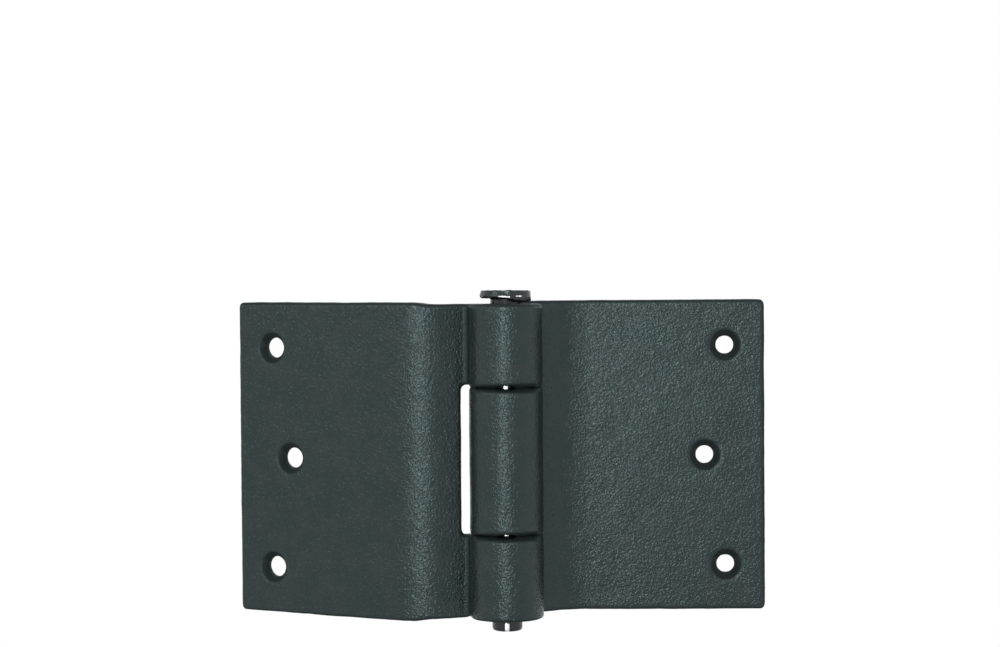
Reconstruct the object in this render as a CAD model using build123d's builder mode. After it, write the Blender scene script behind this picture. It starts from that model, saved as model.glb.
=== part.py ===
from build123d import *
import os
from math import cos, radians, sin, sqrt, tan

# An offset butt hinge: two thick joggled leaves that turn on one headed pin.
# The pin stands along Z with its head up. The frame leaf lies along +X and carries the middle
# knuckle; the door leaf lies along -X and carries the two end knuckles. The fronts face -Y.
# The origin is on the back of the frame leaf, midway between its two outer screw holes.

# Driving dimensions, in millimetres and degrees

# Both leaves
leaf_length = 100.0
leaf_thickness = 5.75
edge_chamfer = 0.6
corner_radius = 1.5

# Knuckles, from the pin's head downwards; the bottom one takes what is left of the length.
# The gap between two of them is narrowest level with the pin, because their ends are cast with draft
# on both sides of a parting line, which is blended
knuckle_diameter = 23.1
top_knuckle_length = 26.3
middle_knuckle_length = 45.4
knuckle_gap = 0.55
knuckle_draft = 3.0
parting_radius = 12.0
notch_radius = 1.2

# Cut-outs in each leaf round the knuckles of the other
cutout_clearance = 2.4
cutout_radius = 1.6

# Door leaf: its flat stands in front of the pin
door_flat_advance = 14.7
door_joggle_angle = 42.8
door_reach = 89.0
door_bend_radius = 15.0

# Frame leaf: its flat is set back behind the pin
frame_flat_setback = 20.8
frame_joggle_angle = 36.6
frame_reach = 82.8
frame_bend_radius = 12.0

# Screw holes, countersunk on both faces so that either face can lie against the work
frame_hole_diameter = 5.6
door_hole_diameter = 6.5
front_countersink_diameter = 10.0
back_countersink_diameter = 9.6
countersink_angle = 82.0
screw_pitch = 70.8
outer_screw_margin = 12.6
middle_screw_margin = 19.2

# Pin: a drive fit in the end knuckles, running in the middle one
pin_diameter = 9.5
running_clearance = 0.08
pin_head_diameter = 16.4
pin_head_rim = 1.8
pin_head_dome = 0.5
pin_head_lift = 1.2
pin_head_chamfer = 0.35
pin_tail_length = 2.8
pin_tail_chamfer = 0.9

# How far the door leaf's flat is turned back from the frame leaf's in the pose as modelled
rest_fold = 24.4

# Sizes worked out from the ones above
knuckle_radius = knuckle_diameter / 2
plate_offset = knuckle_radius - leaf_thickness / 2
front_offset = knuckle_radius - leaf_thickness
cutout_start = sqrt((knuckle_radius + cutout_clearance) ** 2 - front_offset**2)
cutter_reach = knuckle_diameter + leaf_length

top_knuckle_end = leaf_length / 2 - top_knuckle_length
middle_knuckle_top = top_knuckle_end - knuckle_gap
middle_knuckle_end = middle_knuckle_top - middle_knuckle_length
bottom_knuckle_top = middle_knuckle_end - knuckle_gap

countersink_diameters = (front_countersink_diameter, back_countersink_diameter)

pin_x = outer_screw_margin - frame_reach
pin_y = -frame_flat_setback - leaf_thickness
pin_axis = Axis((pin_x, pin_y, 0), (0, 0, 1))

# Section planes through the pin: local x runs outward along the leaf's flat, local y to its front
frame_plane = Plane(origin=(pin_x, pin_y, 0), x_dir=(1, 0, 0), z_dir=(0, 0, -1))
door_plane = Plane(
    origin=(pin_x, pin_y, 0),
    x_dir=(-cos(radians(rest_fold)), sin(radians(rest_fold)), 0),
    z_dir=(0, 0, 1),
)


def leaf_section(plane, joggle_angle, flat_front, reach, bend_radius):
    """Section of one leaf: the flat, its bend, the joggle and the solid ring that it runs into."""
    angle = radians(joggle_angle)
    flat_middle = flat_front - leaf_thickness / 2
    joggle_run = (flat_middle + plate_offset * cos(angle)) / sin(angle)
    root = (plate_offset * sin(angle), -plate_offset * cos(angle))
    bend = (root[0] + joggle_run * cos(angle), flat_middle)
    tip = (reach, flat_middle)
    notch_run = sqrt(knuckle_radius**2 - front_offset**2)
    notch_point = Vector(
        notch_run * cos(angle) + front_offset * sin(angle),
        notch_run * sin(angle) - front_offset * cos(angle),
    )
    with BuildSketch(plane) as section:
        with BuildLine():
            FilletPolyline(root, bend, tip, radius=bend_radius + leaf_thickness / 2)
        trace(line_width=leaf_thickness)
        Circle(knuckle_radius)
        fillet(section.vertices().sort_by_distance(notch_point)[0], notch_radius)
    return section.sketch


def joggle_plane(plane, joggle_angle):
    """Plane through the pin, parallel to a leaf's joggle: local x outward, local y along the pin."""
    angle = radians(joggle_angle)
    outward = plane.x_dir * cos(angle) + plane.y_dir * sin(angle)
    return Plane(origin=plane.origin, x_dir=outward, z_dir=outward.cross(Vector(0, 0, 1)))


def cutout(slant, low, high):
    """Cutter for one cut-out, up to its clearance round a knuckle, with draft away from the pin's plane."""
    spread = knuckle_diameter * tan(radians(knuckle_draft))
    start = slant.from_local_coords((cutout_start, 0, 0))
    with BuildPart() as cutter:
        with BuildSketch(Plane(origin=start, x_dir=slant.z_dir, z_dir=-slant.x_dir)):
            with BuildLine():
                Polyline(
                    (0, low),
                    (knuckle_diameter, low - spread),
                    (knuckle_diameter, high + spread),
                    (0, high),
                    (-knuckle_diameter, high + spread),
                    (-knuckle_diameter, low - spread),
                    close=True,
                )
            make_face()
        extrude(amount=cutter_reach)
        corners = cutter.faces().sort_by(Axis(start, slant.x_dir))[-1].edges().filter_by(Axis.Z, reverse=True)
        fillet(corners.filter_by_position(Axis.Z, -leaf_length / 2, leaf_length / 2), cutout_radius)
        partings = cutter.edges().filter_by(Axis(start, slant.x_dir)).group_by(Axis(start, slant.z_dir))[1]
        fillet(partings.filter_by_position(Axis.Z, -leaf_length / 2, leaf_length / 2), parting_radius)
    return cutter.part


def corner_edges(leaf, plane, slant):
    """Edges across a leaf's thickness at its outer corners, on its flat and on its joggle."""
    across_flat = leaf.edges().filter_by(Axis(plane.origin, plane.y_dir))
    across_joggle = leaf.edges().filter_by(Axis(slant.origin, slant.z_dir))
    by_height = (across_flat + across_joggle).group_by(Axis.Z)
    return by_height[0] + by_height[-1]


def rim_edges(leaf, plane, slant):
    """The rims of a leaf's outline, cut-outs and knuckles, where they meet its front and back."""

    def in_skin(face):
        if face.geom_type == GeomType.CYLINDER:
            return abs(face.axis_of_rotation.direction.Z) > 0.9999
        normal = face.normal_at()
        return max(abs(normal.dot(plane.y_dir)), abs(normal.dot(slant.z_dir))) > 0.9999

    skin = leaf.faces().filter_by(in_skin)
    return skin.edges() & (leaf.faces() - skin).edges()


def flat_faces(plane, flat_front):
    """Planes on the front and back of a leaf's flat: local x outward, local z out of the face."""
    front = plane.from_local_coords((0, flat_front, 0))
    back = plane.from_local_coords((0, flat_front - leaf_thickness, 0))
    return (
        Plane(origin=front, x_dir=plane.x_dir, z_dir=plane.y_dir),
        Plane(origin=back, x_dir=plane.x_dir, z_dir=-plane.y_dir),
    )


def screw_points(reach):
    """Centres of a leaf's three screw holes: distance out from the pin, and height."""
    return [
        (reach - outer_screw_margin, screw_pitch / 2),
        (reach - middle_screw_margin, 0),
        (reach - outer_screw_margin, -screw_pitch / 2),
    ]


# Frame leaf, with the middle knuckle
frame_slant = joggle_plane(frame_plane, -frame_joggle_angle)
frame_cutouts = [
    cutout(frame_slant, middle_knuckle_top, leaf_length),
    cutout(frame_slant, -leaf_length, middle_knuckle_end),
]

with BuildPart() as frame_leaf:
    extrude(
        leaf_section(frame_plane, -frame_joggle_angle, -frame_flat_setback, frame_reach, frame_bend_radius),
        amount=leaf_length / 2,
        both=True,
    )
    add(frame_cutouts, mode=Mode.SUBTRACT)
    fillet(corner_edges(frame_leaf, frame_plane, frame_slant), corner_radius)
    chamfer(rim_edges(frame_leaf, frame_plane, frame_slant), edge_chamfer)
    with Locations(pin_axis.position):
        Hole(pin_diameter / 2 + running_clearance)
    for face, countersink in zip(flat_faces(frame_plane, -frame_flat_setback), countersink_diameters):
        with Locations(face):
            with Locations(*screw_points(frame_reach)):
                CounterSinkHole(
                    frame_hole_diameter / 2, countersink / 2, counter_sink_angle=countersink_angle
                )

# Door leaf, with the two end knuckles
door_slant = joggle_plane(door_plane, door_joggle_angle)
door_cutout = cutout(door_slant, bottom_knuckle_top, top_knuckle_end)

with BuildPart() as door_leaf:
    extrude(
        leaf_section(door_plane, door_joggle_angle, door_flat_advance, door_reach, door_bend_radius),
        amount=leaf_length / 2,
        both=True,
    )
    add(door_cutout, mode=Mode.SUBTRACT)
    fillet(corner_edges(door_leaf, door_plane, door_slant), corner_radius)
    chamfer(rim_edges(door_leaf, door_plane, door_slant), edge_chamfer)
    with Locations(pin_axis.position):
        Hole(pin_diameter / 2)
    for face, countersink in zip(flat_faces(door_plane, door_flat_advance), countersink_diameters):
        with Locations(face):
            with Locations(*screw_points(door_reach)):
                CounterSinkHole(
                    door_hole_diameter / 2, countersink / 2, counter_sink_angle=countersink_angle
                )

# Hinge pin: a plain shank with a thin domed head and a chamfered tail
pin_tail_end = -leaf_length / 2 - pin_tail_length
pin_head_seat = leaf_length / 2 + pin_head_lift
pin_head_edge = pin_head_seat + pin_head_rim
pin_head_top = pin_head_edge + pin_head_dome
pin_head_crown = ((pin_head_diameter / 2) ** 2 + pin_head_dome**2) / (2 * pin_head_dome)

with BuildPart() as hinge_pin:
    with BuildSketch(Plane(origin=pin_axis.position, x_dir=(1, 0, 0), z_dir=(0, -1, 0))) as pin_profile:
        with BuildLine():
            Polyline(
                (0, pin_head_top),
                (0, pin_tail_end),
                (pin_diameter / 2 - pin_tail_chamfer, pin_tail_end),
                (pin_diameter / 2, pin_tail_end + pin_tail_chamfer),
                (pin_diameter / 2, pin_head_seat),
                (pin_head_diameter / 2, pin_head_seat),
                (pin_head_diameter / 2, pin_head_edge),
            )
            RadiusArc((pin_head_diameter / 2, pin_head_edge), (0, pin_head_top), -pin_head_crown)
        make_face()
        chamfer(pin_profile.vertices().group_by(Axis.X)[-1], pin_head_chamfer)
    revolve(axis=pin_axis)

os.makedirs("parts", exist_ok=True)
frame_leaf.part.label = "frame_leaf"
export_step(frame_leaf.part, "parts/frame_leaf.step")
door_leaf.part.label = "door_leaf"
export_step(door_leaf.part, "parts/door_leaf.step")
hinge_pin.part.label = "hinge_pin"
export_step(hinge_pin.part, "parts/hinge_pin.step")
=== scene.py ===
"""Looks of an offset butt hinge: two thick cast leaves under a grained coat, and a glossy black pin."""

import logging
import math
from collections.abc import Sequence
from dataclasses import dataclass
from enum import Enum
from typing import Any

import bpy
import numpy as np
from mathutils import Matrix, Vector


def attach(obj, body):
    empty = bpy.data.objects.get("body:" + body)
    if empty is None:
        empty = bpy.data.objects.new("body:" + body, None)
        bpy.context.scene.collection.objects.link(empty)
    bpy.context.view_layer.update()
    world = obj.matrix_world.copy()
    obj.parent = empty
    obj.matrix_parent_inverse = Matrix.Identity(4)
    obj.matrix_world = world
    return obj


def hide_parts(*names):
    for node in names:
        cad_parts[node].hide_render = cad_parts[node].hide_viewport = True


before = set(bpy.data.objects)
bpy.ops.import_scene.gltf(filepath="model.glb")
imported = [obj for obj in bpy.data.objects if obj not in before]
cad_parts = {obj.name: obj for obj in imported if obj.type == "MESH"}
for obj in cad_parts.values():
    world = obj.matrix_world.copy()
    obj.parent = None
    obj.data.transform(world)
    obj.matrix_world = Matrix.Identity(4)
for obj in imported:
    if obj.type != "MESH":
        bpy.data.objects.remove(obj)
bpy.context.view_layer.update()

log = logging.getLogger("hinge")
MM = 0.001


class Body(Enum):
    """The two bodies that the pieces ride on."""

    FRAME = "frame_side"
    DOOR = "door_side"


class Slot(Enum):
    """The record's material slots."""

    COAT = "leaf_coating"
    PIN = "pin_finish"


class Wire:
    """An output socket that takes part in Python expressions, each of which adds Math nodes."""

    def __init__(self, graph: "Graph", socket: bpy.types.NodeSocket) -> None:
        """Keeps the socket and the graph that it belongs to."""
        self.graph = graph
        self.socket = socket

    def _math(self, operation: str, first: "Wire | float", second: "Wire | float") -> "Wire":
        """Adds one Math node.

        Args:
            operation: Name of the Math node's operation.
            first: Its first value.
            second: Its second value.

        Returns:
            The node's result.
        """
        return self.graph.add("ShaderNodeMath", {"operation": operation}, {0: first, 1: second})

    def __add__(self, other: "Wire | float") -> "Wire":
        """self + other."""
        return self._math("ADD", self, other)

    def __radd__(self, other: float) -> "Wire":
        """other + self."""
        return self._math("ADD", other, self)

    def __sub__(self, other: "Wire | float") -> "Wire":
        """self - other."""
        return self._math("SUBTRACT", self, other)

    def __rsub__(self, other: float) -> "Wire":
        """other - self."""
        return self._math("SUBTRACT", other, self)

    def __mul__(self, other: "Wire | float") -> "Wire":
        """self * other."""
        return self._math("MULTIPLY", self, other)

    def __rmul__(self, other: float) -> "Wire":
        """other * self."""
        return self._math("MULTIPLY", other, self)

    def __or__(self, other: "Wire | float") -> "Wire":
        """The greater of the two, which joins two masks."""
        return self._math("MAXIMUM", self, other)

    def band(self, start: float, end: float) -> "Wire":
        """Turns the values from start to end into a smooth 0 to 1.

        Args:
            start: Value that becomes 0.
            end: Value that becomes 1; it may be the lower one.

        Returns:
            The mask, held between 0 and 1.
        """
        low, high = (start, end) if start < end else (end, start)
        mask = self.graph.add(
            "ShaderNodeMapRange",
            {"interpolation_type": "SMOOTHSTEP"},
            {"Value": self, "From Min": low, "From Max": high},
        )
        return mask if start < end else 1 - mask


class Graph:
    """A node tree that is filled from an empty start."""

    def __init__(self, tree: bpy.types.NodeTree) -> None:
        """Empties the tree."""
        self.tree = tree
        tree.nodes.clear()

    def add(
        self,
        kind: str,
        settings: dict[str, Any] | None = None,
        inputs: dict[str | int, Any] | None = None,
        output: str | int = 0,
    ) -> Wire | None:
        """Adds one node.

        Args:
            kind: The node's type.
            settings: Its own settings, which are set first.
            inputs: Values or wires for its sockets, by name or number.
            output: The socket that is handed back.

        Returns:
            That output, or None for a node that has none.
        """
        node = self.tree.nodes.new(kind)
        for name, value in (settings or {}).items():
            setattr(node, name, value)
        for name, value in (inputs or {}).items():
            if isinstance(value, Wire):
                self.tree.links.new(value.socket, node.inputs[name])
            else:
                node.inputs[name].default_value = value
        return Wire(self, node.outputs[output]) if len(node.outputs) else None

    def place(self) -> Wire:
        """Object coordinates, in metres."""
        return self.add("ShaderNodeTexCoord", output="Object")

    def noise(self, place: Wire, grain: float, detail: float = 2.0, rough: float = 0.5) -> Wire:
        """Noise whose spots are about one grain across.

        Args:
            place: Coordinates.
            grain: Size of a spot, in metres.
            detail: Number of finer layers.
            rough: Weight of each finer layer.

        Returns:
            Values around one half.
        """
        inputs = {"Vector": place, "Scale": 1 / grain, "Detail": detail, "Roughness": rough}
        return self.add("ShaderNodeTexNoise", None, inputs)

    def tint(self, share: Wire, first: Any, second: Any) -> Wire:
        """Blends two colours.

        Args:
            share: 0 for the first colour, 1 for the second.
            first: Colour or wire.
            second: Colour or wire.

        Returns:
            The blended colour.
        """
        return self.add("ShaderNodeMix", {"data_type": "RGBA"}, {0: share, 6: first, 7: second}, 2)

    def shade(self, surface: Wire) -> None:
        """Ends a material with this surface."""
        self.add("ShaderNodeOutputMaterial", None, {"Surface": surface})


Colour = tuple[float, float, float, float]


@dataclass(frozen=True)
class GrainedCoat:
    """Thick dark coat over a sand-cast leaf: fine glinting wrinkles, with painted shade in hollows and on
    rims.
    """

    body: Colour = (0.009, 0.014, 0.0145, 1.0)
    grey: Colour = (0.014, 0.0155, 0.016, 1.0)
    # Near-black colour of the painted shade.
    painted_shade: Colour = (0.002, 0.003, 0.003, 1.0)
    sheen_tint: Colour = (0.72, 0.98, 1.0, 1.0)
    sheen: float = 0.47
    wrinkle: float = 1.2 * MM
    grain: float = 0.75 * MM
    patch: float = 7.0 * MM
    relief: float = 0.17 * MM
    fold_rise: tuple[float, float] = (0.36, 0.5)
    fold_fall: tuple[float, float] = (0.5, 0.64)
    fold_height: float = 0.3
    grain_height: float = 0.9
    grey_band: tuple[float, float] = (0.42, 0.62)
    smoothest: float = 0.20
    patch_rough: float = 0.12
    dull_rough: float = 0.55

    def material(self) -> bpy.types.Material:
        """Builds the coat.

        Returns:
            The material that both leaves share.
        """
        made = bpy.data.materials.new("grained_coat")
        made.use_nodes = True
        graph = Graph(made.node_tree)
        place = graph.place()
        folds = graph.noise(place, self.wrinkle, detail=1.0)
        grain = graph.noise(place, self.grain, detail=1.0)
        patches = graph.noise(place, self.patch, detail=3.0, rough=0.6)
        recess_shade = graph.add("ShaderNodeAttribute", {"attribute_name": CoatedLeaf.RECESS_SHADE}, output="Fac")
        edge_shade = graph.add("ShaderNodeAttribute", {"attribute_name": CoatedLeaf.EDGE}, output="Fac")
        # Painted shade: the countersinks, the notch, the rims and the faces that look up or down get a
        # near-black colour as well as a rougher coat.
        shade_and_dull = recess_shade | edge_shade
        ridges = folds.band(*self.fold_rise) - folds.band(*self.fold_fall)
        height = ridges * self.fold_height + grain * self.grain_height
        tone = graph.tint(patches.band(*self.grey_band), self.body, self.grey)
        tone = graph.tint(shade_and_dull, tone, self.painted_shade)
        bump = graph.add("ShaderNodeBump", None, {"Height": height, "Distance": self.relief, "Strength": 1.0})
        surface = graph.add(
            "ShaderNodeBsdfPrincipled",
            None,
            {
                "Base Color": tone,
                "Roughness": self.smoothest + patches * self.patch_rough + shade_and_dull * self.dull_rough,
                "Specular IOR Level": self.sheen,
                "Specular Tint": self.sheen_tint,
                "Normal": bump,
            },
        )
        graph.shade(surface)
        return made


@dataclass(frozen=True)
class GlossyBlack:
    """The pin's finish: smooth glossy black with a breath of green, a little uneven; mirror steel paints
    glints and a worn ring.
    """

    dark: Colour = (0.004, 0.006, 0.006, 1.0)
    worn: Colour = (0.008, 0.010, 0.0105, 1.0)
    # Colour of the mirror steel: painted glints, and the worn ring round the crown.
    steel: Colour = (0.88, 0.89, 0.89, 1.0)
    sheen_tint: Colour = (0.86, 0.98, 1.0, 1.0)
    patch: float = 2.0 * MM
    mark: float = 0.6 * MM
    relief: float = 0.09 * MM
    patch_share: float = 0.8
    bare_band: tuple[float, float] = (1.33, 1.40)
    worn_band: tuple[float, float] = (0.45, 0.7)
    even_height: float = 0.1
    smoothest: float = 0.06
    patch_rough: float = 0.05
    beaten_rough: float = 0.12

    def material(self) -> bpy.types.Material:
        """Builds the pin's finish.

        Returns:
            The material.
        """
        made = bpy.data.materials.new("glossy_black")
        made.use_nodes = True
        graph = Graph(made.node_tree)
        place = graph.place()
        patches = graph.noise(place, self.patch, detail=3.0, rough=0.6)
        marks = graph.noise(place, self.mark)
        beaten = graph.add("ShaderNodeAttribute", {"attribute_name": HeadedPin.BEATEN}, output="Fac")
        rim = graph.add("ShaderNodeAttribute", {"attribute_name": HeadedPin.GLINTS_AND_WEAR}, output="Fac")
        # Mirror steel where this passes the band: painted glints on the shank, tail and head's lower rim, and
        # the worn crown ring.
        glint_and_wear = (rim + patches * self.patch_share).band(*self.bare_band)
        tone = graph.tint(patches.band(*self.worn_band) | beaten, self.dark, self.worn)
        tone = graph.tint(glint_and_wear, tone, self.steel)
        height = marks * (self.even_height + beaten)
        bump = graph.add("ShaderNodeBump", None, {"Height": height, "Distance": self.relief, "Strength": 1.0})
        surface = graph.add(
            "ShaderNodeBsdfPrincipled",
            None,
            {
                "Base Color": tone,
                "Metallic": glint_and_wear,
                "Roughness": self.smoothest + patches * self.patch_rough + beaten * self.beaten_rough,
                "Specular Tint": self.sheen_tint,
                "Normal": bump,
            },
        )
        graph.shade(surface)
        return made


class Bench:
    """The modelling steps that every piece uses."""

    LEVELS = 100

    @staticmethod
    def clear() -> None:
        """Leaves edit mode and deselects every object."""
        if bpy.context.object and bpy.context.object.mode != "OBJECT":
            bpy.ops.object.mode_set(mode="OBJECT")
        bpy.ops.object.select_all(action="DESELECT")

    @staticmethod
    def take(piece: bpy.types.Object) -> None:
        """Selects this piece alone and makes it the active one.

        Args:
            piece: The object.
        """
        Bench.clear()
        piece.select_set(True)
        bpy.context.view_layer.objects.active = piece

    @staticmethod
    def modify(piece: bpy.types.Object, kind: str, **settings: Any) -> None:
        """Adds one modifier and applies it.

        Args:
            piece: The object that gets it.
            kind: The modifier's type.
            settings: Its settings.
        """
        Bench.take(piece)
        step = piece.modifiers.new(kind.lower(), kind)
        for name, value in settings.items():
            setattr(step, name, value)
        bpy.ops.object.modifier_apply(modifier=step.name)

    @staticmethod
    def points(piece: bpy.types.Object) -> np.ndarray:
        """Vertex places, one row each, in metres.

        Args:
            piece: The object.

        Returns:
            Its vertices' own coordinates.
        """
        flat = np.empty(len(piece.data.vertices) * 3, np.float32)
        piece.data.vertices.foreach_get("co", flat)
        return flat.reshape(-1, 3)

    @staticmethod
    def group(piece: bpy.types.Object, name: str, weights: np.ndarray) -> str:
        """Writes a vertex group.

        Args:
            piece: The object that gets it.
            name: Name of the group.
            weights: One weight from 0 to 1 for each vertex.

        Returns:
            The group's name.
        """
        made = piece.vertex_groups.new(name=name)
        steps = np.round(weights * Bench.LEVELS).astype(int)
        for step in range(1, Bench.LEVELS + 1):
            made.add(np.flatnonzero(steps == step).tolist(), step / Bench.LEVELS, "REPLACE")
        return made.name

    @staticmethod
    def shift(piece: bpy.types.Object, name: str, axis: str, distance: float, weights: np.ndarray) -> None:
        """Moves the vertices along one axis, each by its own share.

        Args:
            piece: The object.
            name: Name of the vertex group that keeps the shares.
            axis: X, Y or Z.
            distance: How far a share of 1 moves, in metres.
            weights: One share from 0 to 1 for each vertex.
        """
        kept = Bench.group(piece, name, weights)
        Bench.modify(piece, "DISPLACE", direction=axis, strength=distance, mid_level=0.0, vertex_group=kept)

    @staticmethod
    def lumps(
        piece: bpy.types.Object, name: str, grain: float, depth: int, height: float, where: str
    ) -> None:
        """Moves the skin in and out by a cloud texture.

        Args:
            piece: The object.
            name: Name of the texture.
            grain: Size of its lumps, in metres.
            depth: Number of finer layers.
            height: From the lowest to the highest point, in metres.
            where: Vertex group that it is held to.
        """
        clouds = Bench.clouds(name, grain, depth)
        Bench.modify(piece, "DISPLACE", texture=clouds, strength=height, mid_level=0.5, vertex_group=where)

    @staticmethod
    def mark(piece: bpy.types.Object, name: str, values: np.ndarray) -> None:
        """Writes a value for each vertex, which the finishes read.

        Args:
            piece: The object.
            name: Name of the attribute.
            values: One value for each vertex.
        """
        made = piece.data.attributes.new(name, "FLOAT", "POINT")
        made.data.foreach_set("value", values.astype(np.float32))

    @staticmethod
    def clouds(name: str, grain: float, depth: int) -> bpy.types.Texture:
        """A cloud texture for displacement.

        Args:
            name: Its name.
            grain: Size of its lumps, in metres.
            depth: Number of finer layers.

        Returns:
            The texture.
        """
        made = bpy.data.textures.new(name, "CLOUDS")
        made.noise_scale = grain
        made.noise_depth = depth
        return made


def ramp(values: np.ndarray, start: float, end: float) -> np.ndarray:
    """Turns the values from start to end into 0 to 1, smoothly.

    Args:
        values: Any values.
        start: Value that becomes 0.
        end: Value that becomes 1.

    Returns:
        The smooth steps.
    """
    share = np.clip((values - start) / (end - start), 0, 1)
    return share * share * (3 - 2 * share)


@dataclass
class CoatedLeaf:
    """One cast leaf with its knuckles: a copy of the solid with softened rims and an uneven skin.

    Attributes:
        node: The solid that it replaces.
        body: The body that it rides on.
        pin: A point on the pin's axis, level with the leaf's middle.
        outward: Direction from the pin along the leaf's flat.
        reach: Distance from the pin to the leaf's tip.
        joggle_end: Distance from the pin to the bend between the joggle and the flat.
        short: How much both ends of the knuckles and the joggle are drawn in.
        ease: How much the hollow of the bend is filled.
        notch: The notch beside the knuckles, from the pin, if it gets painted shade.
        low_end: How much more the lowest end of the knuckles is drawn in.
    """

    node: str
    body: Body
    pin: Vector
    outward: Vector
    reach: float
    joggle_end: float
    short: float = 0.0
    ease: float = 0.0
    notch: Vector | None = None
    low_end: float = 0.5 * MM
    half_length: float = 50.0 * MM
    end_fade: float = 4.0 * MM
    joggle_fade: float = 2.5 * MM
    knuckle_fade: float = 2.0 * MM
    outer_margin: float = 12.6 * MM
    middle_margin: float = 19.2 * MM
    pitch: float = 70.8 * MM
    sink_radius: float = 5.0 * MM
    sink_fade: tuple[float, float] = (0.3 * MM, 0.5 * MM)
    # Painted shade in the countersinks, full on the lower wall and a share on the upper wall, and in the
    # notch.
    sink_lower: tuple[float, float] = (0.8, -0.4)
    upper_wall_shade: float = 0.5
    notch_shade: float = 0.7
    notch_reach: tuple[float, float] = (2.6 * MM, 1.2 * MM)
    tip_reach: tuple[float, float] = (1.2 * MM, 0.4 * MM)
    end_slope: tuple[float, float] = (0.15, 0.5)
    bore_radius: float = 4.83 * MM
    bore_fade: tuple[float, float] = (0.4 * MM, 1.4 * MM)
    knuckle_radius: float = 11.55 * MM
    gaps: tuple[float, float] = (23.425 * MM, -22.525 * MM)
    ease_width: float = 8.0 * MM
    gap_inner: float = 6.6 * MM
    gap_outer: float = 9.8 * MM
    gap_window: float = 2.4 * MM
    gap_depth: float = 1.4 * MM
    gap_left: float = 0.08 * MM
    gap_fade: float = 0.3 * MM
    window_fade: float = 0.5 * MM
    side_fade: tuple[float, float] = (2.0 * MM, 0.5 * MM)
    rim_width: float = 0.1 * MM
    merge: float = 1e-6
    voxel: float = 0.6 * MM
    smooth_factor: float = 0.5
    smooth_steps: int = 3
    wave: float = 11.0 * MM
    wave_height: float = 0.22 * MM
    peel: float = 2.6 * MM
    peel_height: float = 0.12 * MM

    # Attributes that carry the painted shade.
    RECESS_SHADE = "recess_shade"
    EDGE = "edge_shade"
    SKIN = "skin"

    def build(self, coat: bpy.types.Material) -> bpy.types.Object:
        """Builds and dresses the leaf.

        Args:
            coat: The finish.

        Returns:
            The finished piece, riding on its body.
        """
        piece = self.copied()
        self.soften(piece)
        if self.short:
            self.draw_in(piece)
        if self.ease:
            self.ease_bend(piece)
        self.roughen(piece)
        self.close_gaps(piece)
        self.mark_recess_shade(piece)
        self.mark_edge_shade(piece)
        piece.data.materials.clear()
        piece.data.materials.append(coat)
        Bench.take(piece)
        bpy.ops.object.shade_smooth()
        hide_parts(self.node)
        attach(piece, self.body.value)
        return piece

    def copied(self) -> bpy.types.Object:
        """A copy of the solid's mesh with its loose triangles merged.

        Returns:
            The copy, in the scene.
        """
        piece = bpy.data.objects.new(self.node + "_coated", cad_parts[self.node].data.copy())
        bpy.context.scene.collection.objects.link(piece)
        Bench.take(piece)
        bpy.ops.object.mode_set(mode="EDIT")
        bpy.ops.mesh.select_all(action="SELECT")
        bpy.ops.mesh.remove_doubles(threshold=self.merge)
        bpy.ops.object.mode_set(mode="OBJECT")
        return piece

    def from_pin(self, piece: bpy.types.Object) -> np.ndarray:
        """Distance of each vertex from the pin's axis."""
        places = Bench.points(piece)
        return np.hypot(places[:, 0] - self.pin.x, places[:, 1] - self.pin.y)

    def along(self, piece: bpy.types.Object) -> np.ndarray:
        """Distance of each vertex from the pin, outward along the leaf."""
        return (Bench.points(piece)[:, :2] - np.array(self.pin.xy)) @ np.array(self.outward.xy)

    def soften(self, piece: bpy.types.Object) -> None:
        """Rebuilds the skin as an even net and rounds its rims as a casting's are.

        Args:
            piece: The leaf.
        """
        Bench.modify(piece, "REMESH", mode="VOXEL", voxel_size=self.voxel, adaptivity=0.0)
        start, end = self.bore_fade
        skin = ramp(self.from_pin(piece), self.bore_radius + start, self.bore_radius + end)
        Bench.group(piece, self.SKIN, skin)
        Bench.modify(
            piece, "SMOOTH", factor=self.smooth_factor, iterations=self.smooth_steps, vertex_group=self.SKIN
        )

    def draw_in(self, piece: bpy.types.Object) -> None:
        """Draws in both ends of the knuckles and the joggle, which the casting left a little short.

        Args:
            piece: The leaf.
        """
        height = Bench.points(piece)[:, 2]
        top = ramp(height, self.half_length - self.end_fade, self.half_length)
        bottom = ramp(-height, self.half_length - self.end_fade, self.half_length)
        start, end = self.joggle_end + self.joggle_fade, self.joggle_end - self.joggle_fade
        inner = ramp(self.along(piece), start, end)
        knuckle = ramp(self.from_pin(piece), self.knuckle_radius + self.knuckle_fade, self.knuckle_radius)
        Bench.shift(piece, "short_ends", "Z", -self.short, inner * top)
        Bench.shift(piece, "short_ends", "Z", self.short, inner * bottom)
        Bench.shift(piece, "low_end", "Z", self.low_end, knuckle * bottom)

    def ease_bend(self, piece: bpy.types.Object) -> None:
        """Fills the hollow of the bend a little towards the front, where the coat gathers."""
        from_bend = (self.along(piece) - self.joggle_end) / self.ease_width
        Bench.shift(piece, "bend", "Y", -self.ease, np.clip(1 - from_bend**2, 0, 1) ** 2)

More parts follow.
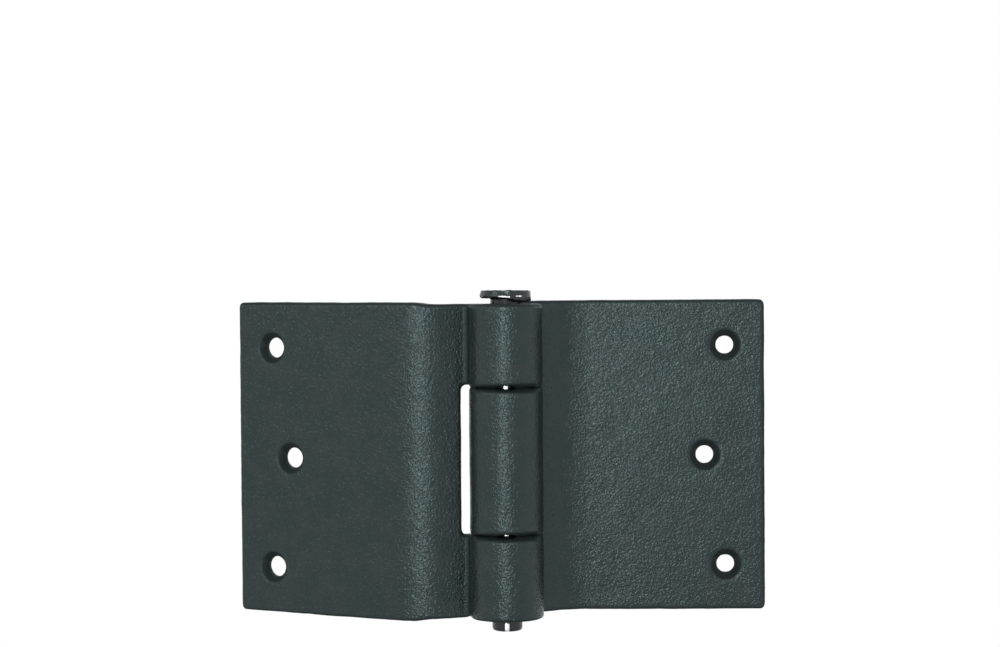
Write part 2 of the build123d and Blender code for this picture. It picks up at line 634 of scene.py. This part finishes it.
    def close_gaps(self, piece: bpy.types.Object) -> None:
        """Lays the faces between the knuckles almost together inside their rims, as thick coat does.

        Args:
            piece: The leaf.
        """
        away = self.from_pin(piece)
        places = Bench.points(piece) - np.array(self.pin)
        across, fade = np.abs(places[:, 0]), self.gap_fade
        window = ramp(across, self.gap_window + self.window_fade, self.gap_window) * (places[:, 1] < 0)
        spread = ramp(across, self.gap_outer - self.side_fade[0], self.gap_outer + self.side_fade[1])
        outer = self.gap_outer + (self.knuckle_radius - self.rim_width - self.gap_outer) * spread
        ring = ramp(away, self.gap_inner - fade, self.gap_inner + fade)
        ring *= ramp(away, outer + fade, outer - fade) * (1 - window)
        for gap in self.gaps:
            for side in (1, -1):
                above = side * (places[:, 2] - gap)
                near = ring * (above > self.gap_left) * ramp(above, self.gap_depth, self.gap_depth - fade)
                share = near * (above - self.gap_left) / self.gap_depth
                Bench.shift(piece, "gap", "Z", -side * self.gap_depth, share)

    def roughen(self, piece: bpy.types.Object) -> None:
        """Makes the skin uneven: long waves from the casting, short ones from the coat."""
        Bench.lumps(piece, "lumps", self.wave, 1, self.wave_height, self.SKIN)
        Bench.lumps(piece, "lumps", self.peel, 2, self.peel_height, self.SKIN)

    def mark_recess_shade(self, piece: bpy.types.Object) -> None:
        """Marks the countersinks and the notch by the knuckles, which get painted shade and a rougher coat.

        Args:
            piece: The leaf.
        """
        places = Bench.points(piece)
        along = self.along(piece)
        marks = np.zeros(len(places), np.float32)
        outside, within = self.sink_fade
        start, end = self.sink_lower
        for margin, height in (
            (self.outer_margin, self.pitch / 2),
            (self.middle_margin, 0.0),
            (self.outer_margin, -self.pitch / 2),
        ):
            away = np.hypot(along - (self.reach - margin), places[:, 2] - height)
            inside = ramp(away, self.sink_radius + outside, self.sink_radius - within)
            # Painted shade, stronger on the lower wall of each countersink, which faces away from the bright
            # floor.
            lower = ramp(places[:, 2] - height, start * self.sink_radius, end * self.sink_radius)
            marks = np.maximum(marks, inside * (self.upper_wall_shade + (1 - self.upper_wall_shade) * lower))
        if self.notch is not None:
            from_notch = np.hypot(*(places[:, :2] - np.array(self.pin.xy) - np.array(self.notch.xy)).T)
            # Painted shade in the notch, which takes away the bright line its hollow would catch.
            marks = np.maximum(marks, self.notch_shade * ramp(from_notch, *self.notch_reach))
        Bench.mark(piece, self.RECESS_SHADE, marks)

    def mark_edge_shade(self, piece: bpy.types.Object) -> None:
        """Marks the rims and the faces that look up, down or out past the tip, which get painted shade and
        stay rough.

        Args:
            piece: The leaf.
        """
        normals = np.empty(len(piece.data.vertices) * 3, np.float32)
        piece.data.vertices.foreach_get("normal", normals)
        ends = ramp(np.abs(normals.reshape(-1, 3)[:, 2]), *self.end_slope)
        start, end = self.tip_reach
        tip = ramp(self.along(piece), self.reach - start, self.reach - end)
        # Painted shade on the rims and on faces that look up or down, where the coat is also rougher.
        Bench.mark(piece, self.EDGE, np.maximum(ends, tip))


@dataclass
class HeadedPin:
    """The pin: a plain shank with a hammered head and a rounded tail, drawn out ring by ring.

    Attributes:
        pin: A point on its axis, level with the leaves' middle.
        droop: How far the head's lower side is beaten down on one side.
        lip: How far the head's upper front is beaten up.
        gaps: Heights of the gaps between the knuckles, where glints are painted on the shank in steel.
        bright: Half the height of those painted glints.
        bright_width: Half their width.
        tail_streak: Middle and half width, across the front, of the glint painted down the tail.
        gleams: Middle and half width of the stretches of the head's lower rim where glints are painted.
        glint_mark: Mark of the painted glints on the shank, which makes them mirror steel throughout.
    """

    pin: Vector
    node: str = "hinge_pin"
    sides: int = 144
    radius: float = 4.75 * MM
    tail_end: float = -52.8 * MM
    tail_chamfer: float = 0.9 * MM
    head_seat: float = 51.2 * MM
    head_top: float = 53.4 * MM
    head_radius: float = 8.1 * MM
    head_round: float = 0.8 * MM
    head_corner: float = 0.25 * MM
    head_taper: float = 0.35 * MM
    head_start: tuple[float, float] = (0.1 * MM, 0.5 * MM)
    slack: float = 0.1 * MM
    droop: float = 1.3 * MM
    droop_span: tuple[float, float] = (-2.0 * MM, 5.0 * MM)
    droop_below: float = 0.6 * MM
    droop_above: float = 0.3 * MM
    lip: float = 0.35 * MM
    lip_below: tuple[float, float] = (1.0 * MM, 0.2 * MM)
    dent: float = 2.0 * MM
    dent_depth: float = 0.35 * MM
    gaps: tuple[float, float] = (-22.525 * MM, 23.425 * MM)
    # Painted glints on the shank: patches in the gaps and a strip down the tail's front.
    bright: float = 1.2 * MM
    bright_fade: float = 0.3 * MM
    bright_width: float = 0.55 * MM
    streak_top: float = -50.25 * MM
    streak_fade: float = 0.2 * MM
    tail_streak: tuple[float, float] = (0.0, 0.65 * MM)
    # Stretches of the head's lower rim where glints are painted.
    gleams: tuple[tuple[float, float], ...] = ((-0.15 * MM, 1.6 * MM), (4.3 * MM, 0.6 * MM))
    gleam_fade: float = 0.5 * MM
    belt_height: float = 0.5 * MM
    belt_reach: tuple[float, float] = (0.6 * MM, 0.1 * MM)
    belt_inset: float = 0.7 * MM
    belt_mark: float = 0.9
    gleam_mark: float = 0.35
    crown_inset: float = 0.4 * MM
    crown_reach: tuple[float, float] = (0.4 * MM, 0.1 * MM)
    # Mark of the painted glints on the shank.
    glint_mark: float = 1.2
    neck: float = 0.3 * MM
    ring_step: float = 0.15 * MM
    smooth_angle: float = math.radians(50)

    BEATEN = "beaten"
    # Attribute of mirror steel: painted glints and the worn ring round the crown.
    GLINTS_AND_WEAR = "rim"

    def outline(self) -> list[tuple[float, float]]:
        """Rings of the pin from its tail to its head.

        Returns:
            Radius and height of each ring.
        """
        rings = [(self.radius - self.tail_chamfer, self.tail_end)]
        for turn in (25, 45, 65, 90):
            lean = math.radians(turn)
            rings.append((
                self.radius - self.tail_chamfer * (1 - math.sin(lean)),
                self.tail_end + self.tail_chamfer * (1 - math.cos(lean)),
            ))
        heights = [self.tail_end + self.tail_chamfer + self.ring_step]
        heights += [self.streak_top, self.streak_top + self.bright_fade]
        faded = self.bright + self.bright_fade
        for gap in self.gaps:
            heights += [gap - faded, gap - self.bright, gap + self.bright, gap + faded]
        heights += [self.head_seat - self.neck - self.ring_step, self.head_seat - self.neck]
        rings += [(self.radius, height) for height in heights]
        rings.append((self.radius + self.neck, self.head_seat))
        rim = self.head_radius - self.head_round
        for share in (0.5, 1.0):
            rings.append((self.radius + (rim - self.radius) * share, self.head_seat))
        for turn in (20, 40, 60, 80):
            lean = math.radians(turn)
            rings.append((
                rim + self.head_round * math.sin(lean),
                self.head_seat + self.head_round * (1 - math.cos(lean)),
            ))
        wall = self.head_seat + self.head_round
        corner = self.head_top - self.head_corner
        for share in (0.0, 0.25, 0.5, 0.75, 1.0):
            rings.append((self.head_radius - self.head_taper * share, wall + (corner - wall) * share))
        crown = self.head_radius - self.head_taper
        for turn in (45, 85):
            lean = math.radians(turn)
            rings.append((
                crown - self.head_corner * (1 - math.cos(lean)),
                corner + self.head_corner * math.sin(lean),
            ))
        for share in (0.92, 0.84, 0.76, 0.68, 0.6, 0.5, 0.4, 0.3, 0.2, 0.1, 0.04):
            rings.append((crown * share, self.head_top))
        return rings

    def build(self, steel: bpy.types.Material) -> bpy.types.Object:
        """Builds and dresses the pin.

        Args:
            steel: The finish.

        Returns:
            The finished piece, riding on the door's body.
        """
        piece = self.drawn()
        self.hammer_head(piece)
        piece.data.materials.append(steel)
        Bench.take(piece)
        bpy.ops.object.shade_smooth_by_angle(angle=self.smooth_angle)
        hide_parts(self.node)
        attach(piece, Body.DOOR.value)
        return piece

    def drawn(self) -> bpy.types.Object:
        """Draws a circle out through the rings of the outline and closes both ends.

        Returns:
            The pin.
        """
        rings = self.outline()
        Bench.clear()
        first, low = rings[0]
        start = Vector((self.pin.x, self.pin.y, low))
        bpy.ops.mesh.primitive_circle_add(
            vertices=self.sides, radius=first, fill_type="TRIFAN", location=start
        )
        piece = bpy.context.object
        piece.name = piece.data.name = "pin_black"
        bpy.ops.object.transform_apply(location=True, rotation=True, scale=True)
        bpy.ops.object.mode_set(mode="EDIT")
        bpy.ops.mesh.select_mode(type="EDGE")
        bpy.ops.mesh.select_all(action="SELECT")
        bpy.ops.mesh.region_to_loop()
        for (radius, height), (before, below) in zip(rings[1:], rings):
            bpy.ops.mesh.extrude_edges_move(TRANSFORM_OT_translate={"value": (0, 0, height - below)})
            grow = radius / before
            middle = (self.pin.x, self.pin.y, height)
            bpy.ops.transform.resize(value=(grow, grow, 1), center_override=middle)
        bpy.ops.mesh.merge(type="CENTER")
        bpy.ops.mesh.select_all(action="SELECT")
        bpy.ops.mesh.normals_make_consistent(inside=False)
        bpy.ops.object.mode_set(mode="OBJECT")
        return piece

    def from_axis(self, places: np.ndarray) -> np.ndarray:
        """Distance of each place from the pin's axis."""
        return np.hypot(places[:, 0] - self.pin.x, places[:, 1] - self.pin.y)

    def hammer_head(self, piece: bpy.types.Object) -> None:
        """Beats the head over to one side, down to the knuckle, and leaves it uneven.

        Args:
            piece: The pin.
        """
        places = Bench.points(piece)
        start, end = self.head_start
        head = ramp(self.from_axis(places), self.radius + start, self.radius + end)
        head *= places[:, 2] > self.head_seat - self.slack
        low = ramp(places[:, 2], self.head_top - self.droop_below, self.head_seat + self.droop_above)
        side = ramp(places[:, 0] - self.pin.x, *self.droop_span)
        Bench.shift(piece, "lower_side", "Z", -self.droop, head * low * side)
        front = ramp(places[:, 1] - self.pin.y, self.head_radius, -self.head_radius)
        start, end = self.lip_below
        upper = ramp(places[:, 2], self.head_top - start, self.head_top - end)
        Bench.shift(piece, "upper_front", "Z", self.lip, head * front * upper)
        where = Bench.group(piece, "head", head)
        Bench.lumps(piece, "dents", self.dent, 1, self.dent_depth, where)
        # Mirror steel marks: painted glints on the head's lower rim, in the gaps and down the tail, and the
        # worn crown ring.
        rim = self.rim_glints_and_wear(places, Bench.points(piece)[:, 2])
        Bench.mark(piece, self.BEATEN, head)
        Bench.mark(piece, self.GLINTS_AND_WEAR, np.maximum(rim, self.shank_glints(places)))

    def rim_glints_and_wear(self, places: np.ndarray, beaten: np.ndarray) -> np.ndarray:
        """Mirror steel on the head: glints painted on stretches of its lower rim, and a worn ring round its
        crown.

        Args:
            places: Vertex places before the head was hammered.
            beaten: Vertex heights after it.

        Returns:
            One mark for each vertex.
        """
        away = self.from_axis(places)
        across = places[:, 0] - self.pin.x
        belt = ramp(np.abs(beaten - self.head_seat - self.belt_height), *self.belt_reach)
        belt *= away > self.head_radius - self.belt_inset
        gleams = [
            ramp(np.abs(across - middle), reach + self.gleam_fade, reach) for middle, reach in self.gleams
        ]
        belt *= self.belt_mark + self.gleam_mark * np.max(gleams, axis=0)
        from_crown = np.abs(away - self.head_radius + self.head_taper + self.crown_inset)
        crown = ramp(from_crown, *self.crown_reach) * (places[:, 2] > self.head_top - self.slack)
        return np.maximum(belt, crown)

    def shank_glints(self, places: np.ndarray) -> np.ndarray:
        """Painted glints on the shank: a patch of mirror steel in each gap between the knuckles and a strip
        down the tail's front.

        Args:
            places: Vertex places.

        Returns:
            One mark for each vertex.
        """
        across = places[:, 0] - self.pin.x
        from_gap = np.min([np.abs(places[:, 2] - gap) for gap in self.gaps], axis=0)
        gap_glints = self.glint_mark * ramp(from_gap, self.bright + self.bright_fade, self.bright)
        gap_glints *= ramp(np.abs(across), self.bright_width + self.bright_fade, self.bright_width)
        middle, reach = self.tail_streak
        streak = self.glint_mark * ramp(np.abs(across - middle), reach + self.streak_fade, reach)
        streak *= ramp(places[:, 2], self.streak_top + self.bright_fade, self.streak_top)
        streak *= places[:, 1] < self.pin.y
        return np.maximum(gap_glints, streak)


@dataclass(frozen=True)
class Lamp:
    """One soft lamp that looks at the hinge's middle.

    Attributes:
        name: Its name.
        azimuth: Degrees to the right of straight in front.
        elevation: Degrees above level.
        distance: From the hinge's middle, in metres.
        width: In metres.
        height: In metres.
        power: In watts.
    """

    name: str
    azimuth: float
    elevation: float
    distance: float
    width: float
    height: float
    power: float

    def build(self, target: Vector) -> None:
        """Hangs the lamp.

        Args:
            target: The point that it looks at.
        """
        turn, lift = math.radians(self.azimuth), math.radians(self.elevation)
        back = Vector((math.sin(turn) * math.cos(lift), -math.cos(turn) * math.cos(lift), math.sin(lift)))
        light = bpy.data.lights.new(self.name, "AREA")
        light.shape = "RECTANGLE"
        light.size = self.width
        light.size_y = self.height
        light.energy = self.power
        lamp = bpy.data.objects.new(self.name, light)
        lamp.location = target + back * self.distance
        lamp.rotation_mode = "QUATERNION"
        lamp.rotation_quaternion = back.to_track_quat("Z", "Y")
        bpy.context.scene.collection.objects.link(lamp)


@dataclass
class Studio:
    """White surroundings, a pale floor well below the hinge and a few soft lamps."""

    target: Vector
    floor_drop: float = 0.14
    floor_radius: float = 2.5
    floor_sides: int = 96
    floor_tone: Colour = (0.86, 0.86, 0.86, 1.0)
    white: Colour = (1.0, 1.0, 1.0, 1.0)
    shade_start: float = 0.30
    shade_end: float = 0.14
    ambient: float = 0.45
    lamps: tuple[Lamp, ...] = (
        Lamp("key", -5, 15, 0.75, 0.22, 0.28, 1.55),
        Lamp("low", -7, -9.6, 0.36, 0.03, 0.14, 0.15),
        Lamp("left", -46, 20, 0.80, 0.15, 0.12, 0.60),
        Lamp("right_fill", 65, 15, 1.1, 0.7, 0.7, 0.2),
        Lamp("back", 170, 35, 1.2, 0.9, 0.9, 6.0),
    )

    def build(self) -> None:
        """Builds the floor, the world and the lamps."""
        self.world()
        self.floor()
        for lamp in self.lamps:
            lamp.build(self.target)

    @staticmethod
    def seen(graph: Graph) -> Wire:
        """Mask of the rays that show the background: straight, mirrored and through glass.

        Args:
            graph: The tree that gets the mask.

        Returns:
            1 for those rays, 0 for others.
        """
        rays = [
            graph.add("ShaderNodeLightPath", output=name)
            for name in ("Is Camera Ray", "Is Glossy Ray", "Is Transmission Ray")
        ]
        return rays[0] | rays[1] | rays[2]

    def world(self) -> None:
        """Surroundings that look white and light the hinge softly."""
        made = bpy.data.worlds.new("surroundings")
        bpy.context.scene.world = made
        made.use_nodes = True
        graph = Graph(made.node_tree)
        soft = graph.add("ShaderNodeBackground", None, {"Color": self.white, "Strength": self.ambient})
        white = graph.add("ShaderNodeBackground", None, {"Color": self.white, "Strength": 1.0})
        both = graph.add("ShaderNodeMixShader", None, {0: self.seen(graph), 1: soft, 2: white})
        graph.add("ShaderNodeOutputWorld", None, {"Surface": both})

    def floor(self) -> None:
        """A pale floor that keeps the shadow and runs out to white."""
        Bench.clear()
        low = Vector((self.target.x, self.target.y, -self.floor_drop))
        bpy.ops.mesh.primitive_circle_add(
            vertices=self.floor_sides, radius=self.floor_radius, fill_type="NGON", location=low
        )
        floor = bpy.context.object
        floor.name = "floor"
        floor.visible_shadow = False
        made = bpy.data.materials.new("pale_floor")
        made.use_nodes = True
        graph = Graph(made.node_tree)
        away = graph.add("ShaderNodeVectorMath", {"operation": "LENGTH"}, {0: graph.place()}, "Value")
        matt = graph.add("ShaderNodeBsdfDiffuse", None, {"Color": self.floor_tone})
        white = graph.add("ShaderNodeEmission", None, {"Color": self.white, "Strength": 1.0})
        share = self.seen(graph) * away.band(self.shade_end, self.shade_start)
        graph.shade(graph.add("ShaderNodeMixShader", None, {0: share, 1: matt, 2: white}))
        floor.data.materials.append(made)


@dataclass
class PhotoCamera:
    """The camera at the photograph's viewing angle."""

    place: Vector
    forward: Vector
    up: Vector
    lens: float = 76.28
    sensor: float = 36.0
    nearest: float = 0.01
    farthest: float = 20.0

    def build(self) -> None:
        """Sets up the camera and makes it the scene's own."""
        data = bpy.data.cameras.new("photo_camera")
        data.sensor_width = self.sensor
        data.lens = self.lens
        data.clip_start = self.nearest
        data.clip_end = self.farthest
        camera = bpy.data.objects.new("photo_camera", data)
        back = -self.forward.normalized()
        right = self.up.cross(back).normalized()
        turn = Matrix((right, back.cross(right), back)).transposed()
        camera.matrix_world = Matrix.Translation(self.place) @ turn.to_4x4()
        bpy.context.scene.collection.objects.link(camera)
        bpy.context.scene.camera = camera


def main() -> None:
    """Builds the hinge's pieces, the studio and the camera."""
    logging.basicConfig(level=logging.INFO, format="%(message)s")
    pin = Vector((-70.2, -26.55, 0)) * MM
    fold = math.radians(24.4)
    coat = GrainedCoat().material()
    leaves = (
        CoatedLeaf(
            node="frame_leaf",
            body=Body.FRAME,
            pin=pin,
            outward=Vector((1, 0, 0)),
            reach=82.8 * MM,
            joggle_end=18.3 * MM,
            ease=0.5 * MM,
        ),
        CoatedLeaf(
            node="door_leaf",
            body=Body.DOOR,
            pin=pin,
            outward=Vector((-math.cos(fold), math.sin(fold), 0)),
            reach=89.0 * MM,
            joggle_end=24.0 * MM,
            short=0.6 * MM,
            notch=Vector((-11.31, 2.35, 0)) * MM,
        ),
    )
    for leaf in leaves:
        piece = leaf.build(coat)
        log.info("%s: %d faces", piece.name, len(piece.data.polygons))
    piece = HeadedPin(pin).build(GlossyBlack().material())
    log.info("%s: %d faces", piece.name, len(piece.data.polygons))
    Studio(pin).build()
    log.info("studio: floor, surroundings and lamps")
    PhotoCamera(
        place=pin + Vector((13.16, -661.63, 60.59)) * MM,
        forward=Vector((-0.02245, 0.99940, -0.02619)),
        up=Vector((0.00622, 0.02634, 0.99963)),
    ).build()
    bpy.context.scene.view_settings.view_transform = "Standard"


if __name__ == "__main__":
    main()
